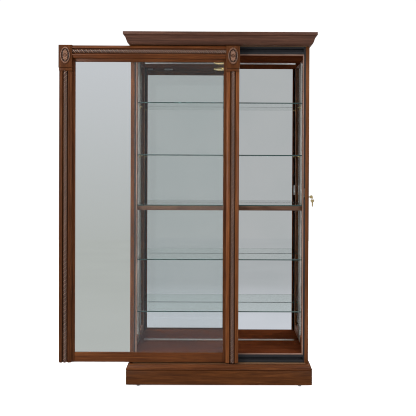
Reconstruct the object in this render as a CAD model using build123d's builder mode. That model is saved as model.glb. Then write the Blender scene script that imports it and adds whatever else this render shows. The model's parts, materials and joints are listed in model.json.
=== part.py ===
from build123d import *
import os

os.makedirs("parts", exist_ok=True)

# Curio cabinet with one wide framed glass door that slides sideways in front of the
# case on a hung track.  +X is to the right seen from the front, the front faces -Y,
# +Z is up.  The origin is the centre of the base's footprint on the floor.
# The door is stored slid to the left.  All lengths are millimetres.

# ---------------------------------------------------------------- driving dimensions
HEIGHT = 2032.0            # top of the crown
CASE = 516.0               # half width of the case
SIDE_T = 21.0              # thickness of the side frames
INNER = CASE - SIDE_T      # half width inside the case
FRONT = -152.5             # front plane of the case
BACK = 212.5               # back plane of the case
BASE_HALF = 533.0          # half width of the plinth
PLINTH_FRONT = -212.5
PLINTH_T = 22.0
GLIDE_GAP = 15.0           # the plinth's lower edge above the floor
PLINTH_TOP = 97.0
CASE_BOTTOM = 131.0        # top of the base moulding, where the case stands
FLOOR_TOP = 186.0          # top face of the inside floor
CEILING = 1908.0           # underside of the inside ceiling
CASE_TOP = 1960.0          # underside of the crown
CROWN_HALF = 553.0
CROWN_FRONT = -242.0
STILE_W = 75.0             # front stile of a side frame
BACK_STILE_Y = 152.5       # inner edge of the back stile
RAIL_LOW = 232.0           # top of the lower side rail
RAIL_HIGH = 1902.0         # underside of the upper side rail
GLASS_T = 4.0
FACE_T = 22.0              # depth of the black face frame
FACE_IN = 485.0            # inner edge of the black face stiles
OPEN_HALF = 478.0          # half width of the clear opening
HEADER_DEPTH = 45.0
MIRROR_Y = 197.5           # front face of the back mirror
SHELF_T = 6.0
SHELVES = (418.0, 721.0, 1329.0, 1633.0)   # undersides of the four adjustable shelves
FIXED_Z = 1011.0           # underside of the fixed middle shelf's wood frame
FIXED_TOP = 1037.0

DOOR_HALF = 516.0          # half width of the door
DOOR_X = -406.0            # centre of the door, slid to the left
DOOR_BACK = -155.5
DOOR_T = 22.0
DOOR_FACE = DOOR_BACK - DOOR_T       # front face of the door's frame
DOOR_LOW = 137.5
DOOR_HIGH = 1957.0
DOOR_STILE = 89.0
DOOR_TOP_RAIL = 91.0
DOOR_BOTTOM_RAIL = 55.5
MOULD_W = 74.0             # width of the applied moulding
MOULD_H = 25.0             # how far it stands in front of the frame
REBATE = 20.0              # glass rebate on the back of the door's frame
ROPE_R = 10.0
ROPE_U = 36.0              # rope's centre line from the moulding's outer edge
BLOCK_LOW = 1811.0         # lower edge of the door's corner blocks

TRACK_LOW, TRACK_HIGH = 1926.0, 1950.0
ROLLER_R = 9.0
ROLLER_X = 65.0            # rollers, each side of the door's centre
AXLE_R = 3.0
AXLE_Z = 1937.3
LOCK_Z = 1091.0
LOCK_Y = -115.0
PLUG_R = 6.0
RUN = 0.05                 # radial running clearance
JOINT = 0.1                # glue line left at butted and mitred ends
GLIDE_X, GLIDE_Y = 466.0, 172.0


def board(x0, x1, y0, y1, z0, z1, mode=Mode.ADD):
    """A rectangular board between two corners, in the part being built."""
    with Locations(((x0 + x1) / 2, (y0 + y1) / 2, (z0 + z1) / 2)):
        Box(x1 - x0, y1 - y0, z1 - z0, mode=mode)


def save(part, name):
    part.label = name
    export_step(part, "parts/" + name + ".step")


# ================================================================= the base
# The plinth's front board, mitred at both ends.
with BuildPart() as plinth_front:
    with BuildSketch(Plane.XY.offset(GLIDE_GAP)):
        with BuildLine():
            Polyline(
                (-BASE_HALF, PLINTH_FRONT),
                (BASE_HALF, PLINTH_FRONT),
                (BASE_HALF - PLINTH_T, PLINTH_FRONT + PLINTH_T),
                (-BASE_HALF + PLINTH_T, PLINTH_FRONT + PLINTH_T),
                close=True,
            )
        make_face()
    extrude(amount=PLINTH_TOP - GLIDE_GAP)
    chamfer(plinth_front.edges().group_by(Axis.Y)[0].filter_by(Axis.X).sort_by(Axis.Z)[0], 1.0)
save(plinth_front.part, "plinth_front")

# The two side boards of the plinth.
with BuildPart() as plinth_sides:
    for s in (-1, 1):
        with BuildSketch(Plane.XY.offset(GLIDE_GAP)):
            with BuildLine():
                Polyline(
                    (s * BASE_HALF, PLINTH_FRONT),
                    (s * BASE_HALF, BACK),
                    (s * (BASE_HALF - PLINTH_T), BACK),
                    (s * (BASE_HALF - PLINTH_T), PLINTH_FRONT + PLINTH_T),
                    close=True,
                )
            make_face()
        extrude(amount=PLINTH_TOP - GLIDE_GAP)
save(plinth_sides.part, "plinth_sides")

with BuildPart() as plinth_back:
    board(-BASE_HALF + PLINTH_T, BASE_HALF - PLINTH_T, BACK - PLINTH_T, BACK, GLIDE_GAP, PLINTH_TOP)
    board(-BASE_HALF + 34, BASE_HALF - 34, BACK - PLINTH_T, BACK, PLINTH_TOP, PLINTH_TOP + 10)
save(plinth_back.part, "plinth_back")

# Glue blocks in the plinth's corners, each bored for a levelling glide's stem.
with BuildPart() as glide_blocks:
    for sx in (-1, 1):
        for sy in (-1, 1):
            board(
                min(sx * 441, sx * 511), max(sx * 441, sx * 511),
                min(sy * 150.5, sy * 190.5), max(sy * 150.5, sy * 190.5),
                20, PLINTH_TOP,
            )
    with BuildSketch(Plane.XY.offset(20)):
        with GridLocations(2 * GLIDE_X, 2 * GLIDE_Y, 2, 2):
            Circle(4.0 + RUN)
    extrude(amount=50, mode=Mode.SUBTRACT)
save(glide_blocks.part, "glide_blocks")

# Base moulding: quirk, bead and ogee, mitred round the front and both sides.
MOULD_D = 34.0
with BuildPart() as base_mouldings:
    for kind in ("front", "left", "right"):
        plane = Plane.YZ.offset(-560) if kind == "front" else Plane.XZ.offset(-BACK)
        sgn = 1.0 if kind == "front" else (1.0 if kind == "left" else -1.0)
        edge = PLINTH_FRONT if kind == "front" else -BASE_HALF * sgn
        with BuildPart(mode=Mode.PRIVATE) as strip:
            with BuildSketch(plane):
                with BuildLine():
                    Polyline(
                        (edge + sgn * MOULD_D, CASE_BOTTOM),
                        (edge + sgn * MOULD_D, PLINTH_TOP),
                        (edge + sgn * 4.0, PLINTH_TOP),
                        (edge + sgn * 4.0, PLINTH_TOP + 2.5),
                        (edge + sgn * 0.0, PLINTH_TOP + 3.0),
                    )
                    ThreePointArc(
                        (edge + sgn * 0.0, PLINTH_TOP + 3.0),
                        (edge - sgn * 1.6, PLINTH_TOP + 6.2),
                        (edge + sgn * 0.4, PLINTH_TOP + 9.4),
                    )
                    Line((edge + sgn * 0.4, PLINTH_TOP + 9.4), (edge + sgn * 2.2, PLINTH_TOP + 10.0))
                    ThreePointArc(
                        (edge + sgn * 2.2, PLINTH_TOP + 10.0),
                        (edge + sgn * 2.5, PLINTH_TOP + 16.0),
                        (edge + sgn * 4.6, PLINTH_TOP + 22.0),
                    )
                    ThreePointArc(
                        (edge + sgn * 4.6, PLINTH_TOP + 22.0),
                        (edge + sgn * 7.0, PLINTH_TOP + 27.5),
                        (edge + sgn * 8.2, CASE_BOTTOM - 2.0),
                    )
                    Polyline(
                        (edge + sgn * 8.2, CASE_BOTTOM - 2.0),
                        (edge + sgn * 10.0, CASE_BOTTOM),
                        (edge + sgn * MOULD_D, CASE_BOTTOM),
                    )
                make_face()
            extrude(amount=1120 if kind == "front" else BACK - PLINTH_FRONT + 20)
            with BuildSketch(Plane.XY.offset(PLINTH_TOP - 5)):
                with BuildLine():
                    if kind == "front":
                        Polyline(
                            (-BASE_HALF - 6 + JOINT, PLINTH_FRONT - 6),
                            (BASE_HALF + 6 - JOINT, PLINTH_FRONT - 6),
                            (BASE_HALF - MOULD_D - JOINT, PLINTH_FRONT + MOULD_D),
                            (-BASE_HALF + MOULD_D + JOINT, PLINTH_FRONT + MOULD_D),
                            close=True,
                        )
                    else:
                        Polyline(
                            (-sgn * (BASE_HALF + 6), PLINTH_FRONT - 6),
                            (-sgn * (BASE_HALF + 6), BACK),
                            (-sgn * (BASE_HALF - MOULD_D), BACK),
                            (-sgn * (BASE_HALF - MOULD_D), PLINTH_FRONT + MOULD_D),
                            close=True,
                        )
                make_face()
            extrude(amount=60, mode=Mode.INTERSECT)
        add(strip.part)
save(base_mouldings.part, "base_mouldings")

with BuildPart() as base_deck:
    board(-BASE_HALF + MOULD_D, BASE_HALF - MOULD_D, PLINTH_FRONT + MOULD_D, BACK, 107, CASE_BOTTOM)
save(base_deck.part, "base_deck")

# ================================================================= side frames
# Front stiles, grooved for the side glass and drilled for the shelf clips.
CLIP_Y = (-112.0, 172.0)
for side, sx in (("left", -1), ("right", 1)):
    with BuildPart() as front_stile:
        board(min(sx * INNER, sx * CASE), max(sx * INNER, sx * CASE), FRONT, FRONT + STILE_W, CASE_BOTTOM, CASE_TOP)
        fillet(
            front_stile.edges().filter_by(Axis.Z).group_by(Axis.Y)[0].sort_by(Axis.X)[-1 if sx > 0 else 0],
            3.0,
        )
        # glass groove, full length; the rails' tongues fill its ends
        board(
            min(sx * 503, sx * 508), max(sx * 503, sx * 508),
            FRONT + STILE_W - 8, FRONT + STILE_W, RAIL_LOW - 8, RAIL_HIGH + 8, mode=Mode.SUBTRACT,
        )
        with BuildSketch(Plane.YZ.offset(sx * INNER)):
            with Locations(*[(CLIP_Y[0], z - 7) for z in SHELVES]):
                Circle(2.5)
        extrude(amount=sx * 8.0, mode=Mode.SUBTRACT)
        if sx > 0:
            with BuildSketch(Plane.YZ.offset(INNER)):
                with Locations((LOCK_Y, LOCK_Z)):
                    Circle(9.5)
            extrude(amount=SIDE_T, mode=Mode.SUBTRACT)
    save(front_stile.part, side + "_front_stile")

# Back stiles, mirrored.
with BuildPart() as back_stiles:
    for sx in (-1, 1):
        board(min(sx * INNER, sx * CASE), max(sx * INNER, sx * CASE), BACK_STILE_Y, BACK, CASE_BOTTOM, CASE_TOP)
        board(
            min(sx * 503, sx * 508), max(sx * 503, sx * 508),
            BACK_STILE_Y, BACK_STILE_Y + 8, RAIL_LOW - 8, RAIL_HIGH + 8, mode=Mode.SUBTRACT,
        )
        with BuildSketch(Plane.YZ.offset(sx * INNER)):
            with Locations(*[(CLIP_Y[1], z - 7) for z in SHELVES]):
                Circle(2.5)
        extrude(amount=sx * 8.0, mode=Mode.SUBTRACT)
save(back_stiles.part, "back_stiles")

with BuildPart() as side_bottom_rails:
    for sx in (-1, 1):
        board(min(sx * INNER, sx * CASE), max(sx * INNER, sx * CASE), FRONT + STILE_W, BACK_STILE_Y, CASE_BOTTOM, RAIL_LOW)
        board(
            min(sx * 503, sx * 508), max(sx * 503, sx * 508),
            FRONT + STILE_W, BACK_STILE_Y, RAIL_LOW - 8, RAIL_LOW, mode=Mode.SUBTRACT,
        )
save(side_bottom_rails.part, "side_bottom_rails")

with BuildPart() as side_top_rails:
    for sx in (-1, 1):
        board(min(sx * INNER, sx * CASE), max(sx * INNER, sx * CASE), FRONT + STILE_W, BACK_STILE_Y, RAIL_HIGH, CASE_TOP)
        board(
            min(sx * 503, sx * 508), max(sx * 503, sx * 508),
            FRONT + STILE_W, BACK_STILE_Y, RAIL_HIGH, RAIL_HIGH + 8, mode=Mode.SUBTRACT,
        )
save(side_top_rails.part, "side_top_rails")

with BuildPart() as side_glass:
    for sx in (-1, 1):
        board(
            min(sx * 503.5, sx * 507.5), max(sx * 503.5, sx * 507.5),
            FRONT + STILE_W - 7, BACK_STILE_Y + 7, RAIL_LOW - 7, RAIL_HIGH + 7,
        )
save(side_glass.part, "side_glass")

# ================================================================= inside of the case
with BuildPart() as floor_panel:
    board(-INNER, INNER, FRONT + FACE_T, MIRROR_Y + GLASS_T, FLOOR_TOP - 18, FLOOR_TOP)
save(floor_panel.part, "floor_panel")

# The ceiling reaches forward to the header, with an ear beside it at each end.
with BuildPart() as ceiling_panel:
    board(-INNER, INNER, FRONT + HEADER_DEPTH, MIRROR_Y + GLASS_T, CEILING, CEILING + 18)
    for sx in (-1, 1):
        board(
            min(sx * FACE_IN, sx * INNER), max(sx * FACE_IN, sx * INNER),
            FRONT + FACE_T, FRONT + HEADER_DEPTH + 1, CEILING, CEILING + 18,
        )
save(ceiling_panel.part, "ceiling_panel")

with BuildPart() as back_panel:
    board(-INNER, INNER, MIRROR_Y + GLASS_T, MIRROR_Y + GLASS_T + 8, CASE_BOTTOM, CASE_TOP)
save(back_panel.part, "back_panel")

with BuildPart() as back_mirror:
    board(-492, 492, MIRROR_Y, MIRROR_Y + GLASS_T, FLOOR_TOP + 1.5, CEILING - 1.5)
save(back_mirror.part, "back_mirror")

# J-shaped aluminium channels that hold the mirror's lower and upper edges.
with BuildPart() as mirror_channels:
    for low in (True, False):
        z = FLOOR_TOP if low else CEILING
        d = 1 if low else -1
        with BuildSketch(Plane.YZ.offset(-466)):
            with BuildLine():
                Polyline(
                    (MIRROR_Y - 1.5, z),
                    (MIRROR_Y + GLASS_T, z),
                    (MIRROR_Y + GLASS_T, z + d * 1.5),
                    (MIRROR_Y, z + d * 1.5),
                    (MIRROR_Y, z + d * 9.0),
                    (MIRROR_Y - 1.5, z + d * 9.0),
                    close=True,
                )
            make_face()
        extrude(amount=932)
save(mirror_channels.part, "mirror_channels")

# Adjustable glass shelves with eased edges.
with BuildPart() as glass_shelves:
    for z in SHELVES:
        board(-489, 489, -126, 190, z, z + SHELF_T)
    chamfer(glass_shelves.edges().filter_by(Axis.X), 0.6)
save(glass_shelves.part, "glass_shelves")

# Clips: an angle of brass with a pin that plugs into the stile.
with BuildPart() as shelf_clips:
    for z in SHELVES:
        for y in CLIP_Y:
            for sx in (-1, 1):
                board(min(sx * 481, sx * INNER), max(sx * 481, sx * INNER), y - 6, y + 6, z - 2, z)
                board(min(sx * 493, sx * INNER), max(sx * 493, sx * INNER), y - 6, y + 6, z - 13, z - 2)
                with BuildSketch(Plane.YZ.offset(sx * INNER)):
                    with Locations((y, z - 7)):
                        Circle(2.5)
                extrude(amount=sx * 8.0)
save(shelf_clips.part, "shelf_clips")

# Fixed middle shelf: a wood frame under its own pane.
with BuildPart() as fixed_shelf_front_rail:
    board(-INNER, INNER, -128, -106, FIXED_Z, FIXED_TOP)
    fillet(fixed_shelf_front_rail.edges().filter_by(Axis.X).group_by(Axis.Y)[0], 2.0)
save(fixed_shelf_front_rail.part, "fixed_shelf_front_rail")

with BuildPart() as fixed_shelf_rails:
    for sx in (-1, 1):
        board(min(sx * 475, sx * INNER), max(sx * 475, sx * INNER), -106, 193, FIXED_Z, FIXED_TOP)
    board(-475 + JOINT, 475 - JOINT, 175, 193, FIXED_Z, FIXED_TOP)
save(fixed_shelf_rails.part, "fixed_shelf_rails")

with BuildPart() as fixed_shelf_glass:
    board(-494, 494, -127, 193, FIXED_TOP, FIXED_TOP + SHELF_T)
    chamfer(fixed_shelf_glass.edges().filter_by(Axis.X), 0.6)
save(fixed_shelf_glass.part, "fixed_shelf_glass")

# ================================================================= face frame
with BuildPart() as left_face_stile:
    board(-INNER, -FACE_IN, FRONT, FRONT + FACE_T, CASE_BOTTOM, CASE_TOP)
save(left_face_stile.part, "left_face_stile")

# The right one is notched where the lock's cam swings through it.
with BuildPart() as right_face_stile:
    board(FACE_IN, INNER, FRONT, FRONT + FACE_T, CASE_BOTTOM, CASE_TOP)
    board(487.2, INNER, FRONT, FRONT + FACE_T, LOCK_Z - 12, LOCK_Z + 50, mode=Mode.SUBTRACT)
save(right_face_stile.part, "right_face_stile")

# Header with a groove for the hung track.
with BuildPart() as header_rail:
    board(-FACE_IN, FACE_IN, FRONT, FRONT + HEADER_DEPTH, CEILING + 8, CASE_TOP)
    board(-FACE_IN, FACE_IN, FRONT, FRONT + 32, TRACK_LOW, TRACK_HIGH, mode=Mode.SUBTRACT)
save(header_rail.part, "header_rail")

with BuildPart() as sill_rail:
    board(-FACE_IN, FACE_IN, FRONT, FRONT + FACE_T, CASE_BOTTOM, FLOOR_TOP - 8)
    board(-FACE_IN, FACE_IN, FRONT, FRONT + 18, 148, 164, mode=Mode.SUBTRACT)
save(sill_rail.part, "sill_rail")

# Light wood lip round the clear opening.
with BuildPart() as opening_trim:
    board(-OPEN_HALF + JOINT, OPEN_HALF - JOINT, FRONT, FRONT + FACE_T, FLOOR_TOP - 8, FLOOR_TOP)
    board(-OPEN_HALF + JOINT, OPEN_HALF - JOINT, FRONT, FRONT + HEADER_DEPTH, CEILING, CEILING + 8)
    for sx in (-1, 1):
        board(min(sx * OPEN_HALF, sx * FACE_IN), max(sx * OPEN_HALF, sx * FACE_IN), FRONT, FRONT + FACE_T, FLOOR_TOP - 8, CEILING + 8)
save(opening_trim.part, "opening_trim")

# Upper track: a channel with a lip, closed at both ends.
with BuildPart() as top_track:
    with BuildSketch(Plane.YZ.offset(-FACE_IN)):
        with BuildLine():
            Polyline(
                (FRONT, TRACK_LOW),
                (FRONT + 32, TRACK_LOW),
                (FRONT + 32, TRACK_HIGH),
                (FRONT, TRACK_HIGH),
                (FRONT, TRACK_HIGH - 2),
                (FRONT + 30, TRACK_HIGH - 2),
                (FRONT + 30, TRACK_LOW + 2),
                (FRONT + 2, TRACK_LOW + 2),
                (FRONT + 2, TRACK_LOW + 5),
                (FRONT, TRACK_LOW + 5),
                close=True,
            )
        make_face()
    extrude(amount=2 * FACE_IN)
    for sx in (-1, 1):
        board(min(sx * (FACE_IN - 2), sx * FACE_IN), max(sx * (FACE_IN - 2), sx * FACE_IN), FRONT, FRONT + 32, TRACK_LOW, TRACK_HIGH)
save(top_track.part, "top_track")

with BuildPart() as bottom_track:
    with BuildSketch(Plane.YZ.offset(-FACE_IN)):
        with BuildLine():
            Polyline(
                (FRONT, 148), (FRONT + 18, 148), (FRONT + 18, 164), (FRONT, 164),
                (FRONT, 162.5), (FRONT + 16.5, 162.5), (FRONT + 16.5, 149.5), (FRONT, 149.5),
                close=True,
            )
        make_face()
    extrude(amount=2 * FACE_IN)
save(bottom_track.part, "bottom_track")

# ================================================================= top and crown
CROWN_D = 53.0
with BuildPart() as top_panel:
    board(-CROWN_HALF + CROWN_D, CROWN_HALF - CROWN_D, CROWN_FRONT + CROWN_D, BACK, CASE_TOP, CASE_TOP + 15)
save(top_panel.part, "top_panel")

with BuildPart() as crown_mouldings:
    for kind in ("front", "left", "right"):
        plane = Plane.YZ.offset(-580) if kind == "front" else Plane.XZ.offset(-BACK)
        sgn = 1.0 if kind in ("front", "left") else -1.0
        edge = CROWN_FRONT if kind == "front" else -CROWN_HALF * sgn
        with BuildPart(mode=Mode.PRIVATE) as strip:
            with BuildSketch(plane):
                with BuildLine():
                    Polyline(
                        (edge + sgn * 38.0, CASE_TOP),
                        (edge + sgn * CROWN_D, CASE_TOP),
                        (edge + sgn * CROWN_D, CASE_TOP + 20),
                        (edge + sgn * 26.0, CASE_TOP + 44),
                        (edge + sgn * 26.0, HEIGHT),
                        (edge + sgn * 2.0, HEIGHT),
                    )
                    # square top edge with a rounded nose
                    ThreePointArc(
                        (edge + sgn * 2.0, HEIGHT),
                        (edge + sgn * 0.6, HEIGHT - 0.6),
                        (edge, HEIGHT - 2.0),
                    )
                    Line((edge, HEIGHT - 2.0), (edge, HEIGHT - 14.0))
                    ThreePointArc(
                        (edge, HEIGHT - 14.0),
                        (edge + sgn * 1.0, HEIGHT - 17.0),
                        (edge + sgn * 3.5, HEIGHT - 19.0),
                    )
                    # quirk
                    Line((edge + sgn * 3.5, HEIGHT - 19.0), (edge + sgn * 9.0, HEIGHT - 21.5))
                    Line((edge + sgn * 9.0, HEIGHT - 21.5), (edge + sgn * 9.5, HEIGHT - 26.0))
                    # cove
                    ThreePointArc(
                        (edge + sgn * 9.5, HEIGHT - 26.0),
                        (edge + sgn * 14.6, HEIGHT - 37.0),
                        (edge + sgn * 18.5, HEIGHT - 49.5),
                    )
                    Line((edge + sgn * 18.5, HEIGHT - 49.5), (edge + sgn * 20.5, HEIGHT - 52.0))
                    # round nose at the bottom
                    ThreePointArc(
                        (edge + sgn * 20.5, HEIGHT - 52.0),
                        (edge + sgn * 26.0, HEIGHT - 64.5),
                        (edge + sgn * 38.0, CASE_TOP),
                    )
                make_face()
            extrude(amount=1160 if kind == "front" else BACK - CROWN_FRONT + 20)
            with BuildSketch(Plane.XY.offset(CASE_TOP - 5)):
                with BuildLine():
                    if kind == "front":
                        Polyline(
                            (-CROWN_HALF - 6 + JOINT, CROWN_FRONT - 6),
                            (CROWN_HALF + 6 - JOINT, CROWN_FRONT - 6),
                            (CROWN_HALF - CROWN_D - JOINT, CROWN_FRONT + CROWN_D),
                            (-CROWN_HALF + CROWN_D + JOINT, CROWN_FRONT + CROWN_D),
                            close=True,
                        )
                    else:
                        Polyline(
                            (-sgn * (CROWN_HALF + 6), CROWN_FRONT - 6),
                            (-sgn * (CROWN_HALF + 6), BACK),
                            (-sgn * (CROWN_HALF - CROWN_D), BACK),
                            (-sgn * (CROWN_HALF - CROWN_D), CROWN_FRONT + CROWN_D),
                            close=True,
                        )
                make_face()
            extrude(amount=90, mode=Mode.INTERSECT)
        add(strip.part)
save(crown_mouldings.part, "crown_mouldings")

# ================================================================= lamp in the ceiling
LAMP_Y = 30.0
with BuildPart() as light_housing:
    with BuildSketch(Plane.XY.offset(CEILING - 27)):
        with Locations((0, LAMP_Y)):
            Circle(40)
    extrude(amount=27)
    fillet(light_housing.edges().group_by(Axis.Z)[0], 5.0)
    with BuildSketch(Plane.XY.offset(CEILING - 27)):
        with Locations((0, LAMP_Y)):
            Circle(32)
    extrude(amount=18, mode=Mode.SUBTRACT)
save(light_housing.part, "light_housing")

with BuildPart() as light_lens:
    with BuildSketch(Plane.XY.offset(CEILING - 26)):
        with Locations((0, LAMP_Y)):
            Circle(32)
    extrude(amount=4)
save(light_lens.part, "light_lens")

# ================================================================= levelling glides
for name, gx, gy in (
    ("glide_front_left", -GLIDE_X, -GLIDE_Y),
    ("glide_front_right", GLIDE_X, -GLIDE_Y),
    ("glide_back_left", -GLIDE_X, GLIDE_Y),
    ("glide_back_right", GLIDE_X, GLIDE_Y),
):
    with BuildPart() as glide:
        with BuildSketch(Plane.XY):
            with Locations((gx, gy)):
                Circle(9)
        extrude(amount=5)
        fillet(glide.edges().group_by(Axis.Z)[0], 1.5)
        with BuildSketch(Plane.XY.offset(5)):
            with Locations((gx, gy)):
                RegularPolygon(6.5, 6)
        extrude(amount=6)
        with BuildSketch(Plane.XY.offset(11)):
            with Locations((gx, gy)):
                Circle(4)
        extrude(amount=44)
    save(glide.part, name)

# ================================================================= cam lock and its keys
with BuildPart() as lock_barrel:
    with BuildSketch(Plane.YZ.offset(491.2)):
        with Locations((LOCK_Y, LOCK_Z)):
            Circle(9.5)
            Circle(PLUG_R + RUN, mode=Mode.SUBTRACT)
    extrude(amount=CASE - 491.2)
    with BuildSketch(Plane.YZ.offset(CASE)):
        with Locations((LOCK_Y, LOCK_Z)):
            Circle(11.5)
            Circle(PLUG_R + RUN, mode=Mode.SUBTRACT)
    extrude(amount=3)
    chamfer(lock_barrel.edges().group_by(Axis.X)[-1].sort_by(SortBy.LENGTH)[-1], 1.2)
save(lock_barrel.part, "lock_barrel")

with BuildPart() as lock_nut:
    with BuildSketch(Plane.YZ.offset(491.6)):
        with Locations((LOCK_Y, LOCK_Z)):
            RegularPolygon(12.5, 6)
            Circle(9.5, mode=Mode.SUBTRACT)
    extrude(amount=INNER - 491.6)
save(lock_nut.part, "lock_nut")

# The plug turns in the barrel; its keyway is cut down from the outer face.
with BuildPart() as lock_plug:
    with BuildSketch(Plane.YZ.offset(490.6)):
        with Locations((LOCK_Y, LOCK_Z)):
            Circle(PLUG_R)
    extrude(amount=CASE + 2.8 - 490.6)
    board(496, CASE + 2.8, LOCK_Y - 1.2, LOCK_Y + 1.2, LOCK_Z - 3.8, LOCK_Z + 3.8, mode=Mode.SUBTRACT)
save(lock_plug.part, "lock_plug")

# The cam points up when unlocked and turns forward into the door's stile.
with BuildPart() as lock_cam:
    with BuildSketch(Plane.YZ.offset(488.2)):
        with BuildLine():
            Polyline(
                (LOCK_Y - 7, LOCK_Z - 4), (LOCK_Y - 6, LOCK_Z + 42), (LOCK_Y - 3, LOCK_Z + 45.5),
                (LOCK_Y + 3, LOCK_Z + 45.5), (LOCK_Y + 6, LOCK_Z + 42), (LOCK_Y + 7, LOCK_Z - 4),
                (LOCK_Y + 4, LOCK_Z - 8), (LOCK_Y - 4, LOCK_Z - 8), close=True,
            )
        make_face()
    extrude(amount=2.4)
    with BuildSketch(Plane.YZ.offset(486.2)):
        with Locations((LOCK_Y, LOCK_Z)):
            Circle(4)
    extrude(amount=2.0)
save(lock_cam.part, "lock_cam")

KEY_X = 534.5
with BuildPart() as key:
    with BuildSketch(Plane.XZ.offset(-LOCK_Y - 1.0)):
        with Locations((KEY_X, LOCK_Z)):
            Circle(9.5)
        with Locations(((498 + KEY_X) / 2, LOCK_Z)):
            Rectangle(KEY_X - 498, 6.4)
        with Locations((540.5, LOCK_Z)):
            Circle(2.4, mode=Mode.SUBTRACT)
    extrude(amount=2.0)
    # cuts of the blade
    for i, d in enumerate((1.6, 0.9, 2.0, 1.2)):
        board(500 + 4 * i, 502.4 + 4 * i, LOCK_Y - 2, LOCK_Y + 2, LOCK_Z + 3.2 - d, LOCK_Z + 4, mode=Mode.SUBTRACT)
save(key.part, "key")

# Split ring through the key's bow, with the second key hanging from it.
RING_R = 7.0
RING_X = 540.5
BOW_Z = LOCK_Z - 21.0
with BuildPart() as spare_key_and_ring:
    with BuildSketch(Plane.XZ.offset(-LOCK_Y - 1.0)):
        with Locations((RING_X, BOW_Z + 3.0)):
            Circle(7.0)
        with Locations((RING_X, BOW_Z - 2.0)):
            Ellipse(11.0, 7.0)
        with BuildLine():
            Polyline(
                (RING_X - 8, BOW_Z - 4), (RING_X - 3.2, BOW_Z - 14), (RING_X - 3.2, BOW_Z - 33),
                (RING_X, BOW_Z - 36), (RING_X + 3.2, BOW_Z - 33), (RING_X + 3.2, BOW_Z - 14),
                (RING_X + 8, BOW_Z - 4), close=True,
            )
        make_face()
        # hole near the top of the bow, round the ring's lowest point
        with Locations((RING_X, LOCK_Z - 2 * RING_R - 1.0)):
            Circle(2.4, mode=Mode.SUBTRACT)
    extrude(amount=2.0)
    with BuildPart(mode=Mode.PRIVATE) as ring:
        with BuildSketch(Plane.XZ.offset(-LOCK_Y)):
            with Locations((RING_X, LOCK_Z)):
                Circle(0.8)
        revolve(axis=Axis((RING_X, LOCK_Y, LOCK_Z - RING_R), (1, 0, 0)), revolution_arc=360)
    add(ring.part)
save(spare_key_and_ring.part, "spare_key_and_ring")

# ================================================================= sliding door
DIN = DOOR_HALF - DOOR_STILE          # half width between the door's stiles
# screw places on the door's back, as x and z
SCREWS_TOP = [(DOOR_X + sx * ROLLER_X + dx, z) for sx in (-1, 1) for dx in (-17, 17) for z in (1906, 1921)]
SCREWS_LOW = [(DOOR_X + sx * ROLLER_X + dx, 166.5) for sx in (-1, 1) for dx in (-12, 12)]
SCREWS_2 = SCREWS_TOP + SCREWS_LOW
SCREWS_STRIKE = [(DOOR_X + 489.5, LOCK_Z - 19), (DOOR_X + 489.5, LOCK_Z + 37)]
for side, sx in (("left", -1), ("right", 1)):
    x_out = DOOR_X + sx * DOOR_HALF
    x_in = DOOR_X + sx * (DOOR_HALF - DOOR_STILE)
    with BuildPart() as door_stile:
        board(min(x_in, x_out), max(x_in, x_out), DOOR_FACE, DOOR_BACK, DOOR_LOW, DOOR_HIGH)
        chamfer(
            door_stile.edges().filter_by(Axis.Z).group_by(Axis.Y)[0].sort_by(Axis.X)[0 if sx > 0 else -1], 2.0
        )
        # glass rebate in the back
        board(
            min(x_in, x_in + sx * REBATE), max(x_in, x_in + sx * REBATE),
            DOOR_BACK - 12.5, DOOR_BACK,
            DOOR_LOW + DOOR_BOTTOM_RAIL - REBATE, DOOR_HIGH - DOOR_TOP_RAIL + REBATE, mode=Mode.SUBTRACT,
        )
        if sx > 0:
            # mortise for the cam, and the recess for its strike plate
            board(DOOR_X + 486.5, DOOR_X + 492.5, DOOR_BACK - 9, DOOR_BACK, LOCK_Z - 12, LOCK_Z + 30, mode=Mode.SUBTRACT)
            board(DOOR_X + 480, DOOR_X + 499, DOOR_BACK - 1.5, DOOR_BACK, LOCK_Z - 26, LOCK_Z + 44, mode=Mode.SUBTRACT)
            with BuildSketch(Plane.XZ.offset(-DOOR_BACK)):
                with Locations(*SCREWS_STRIKE):
                    Circle(1.7)
            extrude(amount=13.5, mode=Mode.SUBTRACT)
    save(door_stile.part, "door_" + side + "_stile")

with BuildPart() as door_top_rail:
    board(DOOR_X - DIN, DOOR_X + DIN, DOOR_FACE, DOOR_BACK, DOOR_HIGH - DOOR_TOP_RAIL, DOOR_HIGH)
    chamfer(door_top_rail.edges().filter_by(Axis.X).group_by(Axis.Y)[0].sort_by(Axis.Z)[0], 2.0)
    board(
        DOOR_X - DIN, DOOR_X + DIN, DOOR_BACK - 12.5, DOOR_BACK,
        DOOR_HIGH - DOOR_TOP_RAIL, DOOR_HIGH - DOOR_TOP_RAIL + REBATE, mode=Mode.SUBTRACT,
    )
    with BuildSketch(Plane.XZ.offset(-DOOR_BACK)):
        with Locations(*SCREWS_TOP):
            Circle(1.7)
    extrude(amount=12, mode=Mode.SUBTRACT)
save(door_top_rail.part, "door_top_rail")

with BuildPart() as door_bottom_rail:
    board(DOOR_X - DIN, DOOR_X + DIN, DOOR_FACE, DOOR_BACK, DOOR_LOW, DOOR_LOW + DOOR_BOTTOM_RAIL)
    chamfer(door_bottom_rail.edges().filter_by(Axis.X).group_by(Axis.Y)[0], 2.0)
    board(
        DOOR_X - DIN, DOOR_X + DIN, DOOR_BACK - 12.5, DOOR_BACK,
        DOOR_LOW + DOOR_BOTTOM_RAIL - REBATE, DOOR_LOW + DOOR_BOTTOM_RAIL, mode=Mode.SUBTRACT,
    )
    with BuildSketch(Plane.XZ.offset(-DOOR_BACK)):
        with Locations(*SCREWS_LOW):
            Circle(1.7)
    extrude(amount=12, mode=Mode.SUBTRACT)
save(door_bottom_rail.part, "door_bottom_rail")

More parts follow.
